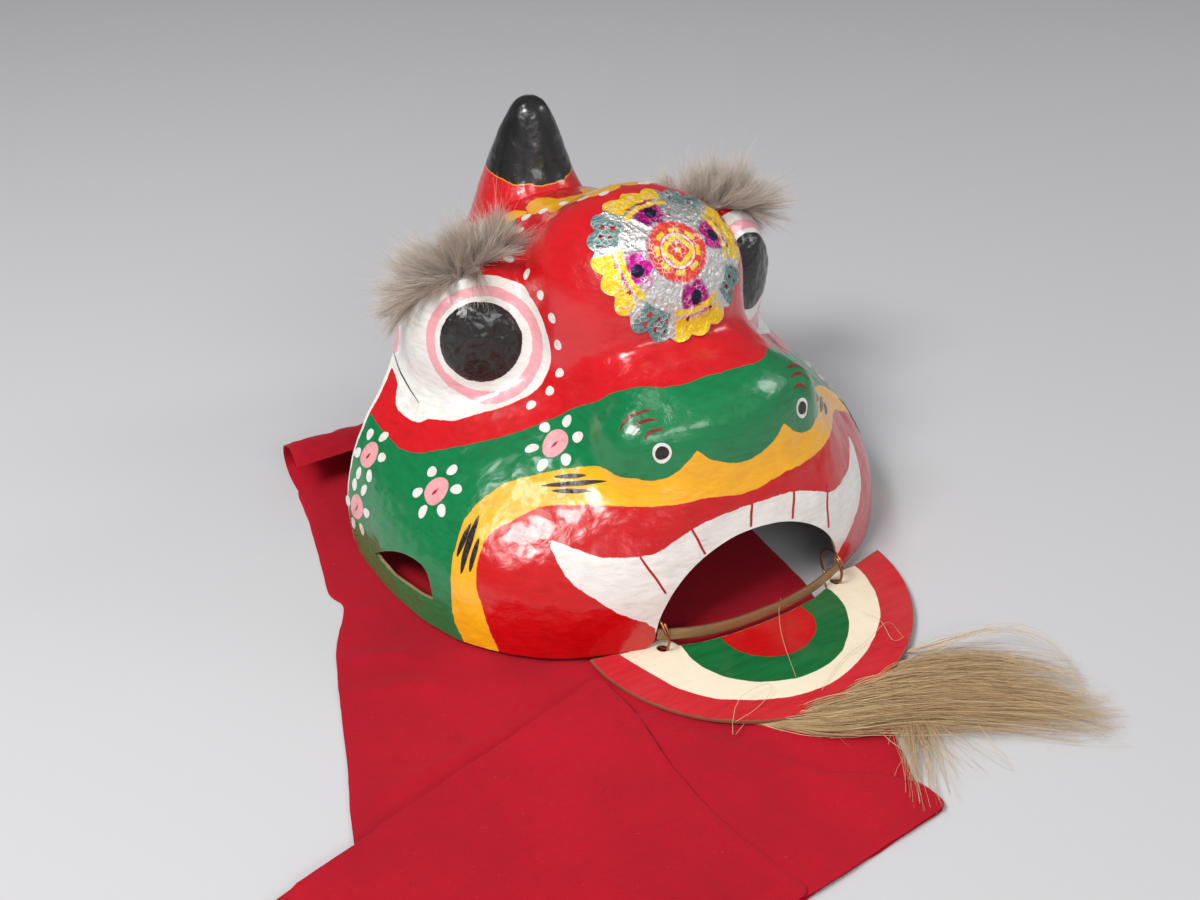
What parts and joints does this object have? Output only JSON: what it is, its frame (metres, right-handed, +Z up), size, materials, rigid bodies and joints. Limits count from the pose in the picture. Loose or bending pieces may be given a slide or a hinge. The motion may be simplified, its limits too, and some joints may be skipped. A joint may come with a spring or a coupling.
{
  "type": "lion dance head with jaw plate, beard and cloth",
  "caption": "Painted papier mache lion dance head worn over the wearer's head, with a hinged jaw plate, fibre beard, fur brows, foil medallion and trailing cotton cloth.",
  "frame": {"origin": "on the floor under the mouth, in the head's middle plane, level with the rear tips of the jaw plate", "axes": "+Z up, the lion looks along -Y, +X to the right of someone who faces it"},
  "size_m": [0.4697, 0.5253, 0.2321],
  "materials": {
    "red_paint": "glossy hand-brushed paint on papier mache",
    "black_paint": "glossy hand-brushed paint on papier mache",
    "fur": "soft grey and beige fur",
    "foil": "embossed and tinted foil",
    "cane": "split cane with dark edges",
    "copper": "dulled copper wire",
    "board": "painted board in rings of red, cream and green",
    "fibre": "raw bast fibre",
    "cotton": "plain woven red cotton"
  },
  "bodies": {
    "head": {"mask_shell": "red_paint", "horn": "black_paint", "brow_left": "fur", "brow_right": "fur", "medallion": "foil", "cane_strip": "cane", "wire_ring_left": "copper", "wire_ring_right": "copper", "cloth": "cotton"},
    "jaw": {"jaw_plate": "board", "beard": "fibre"}
  },
  "joints": [
    {"name": "jaw_hinge", "type": "hinge", "parent": "head", "child": "jaw", "pos_m": [0, -0.014, 0.0131], "axis": [-1, 0, 0], "range_deg": [0, 85]}
  ]
}
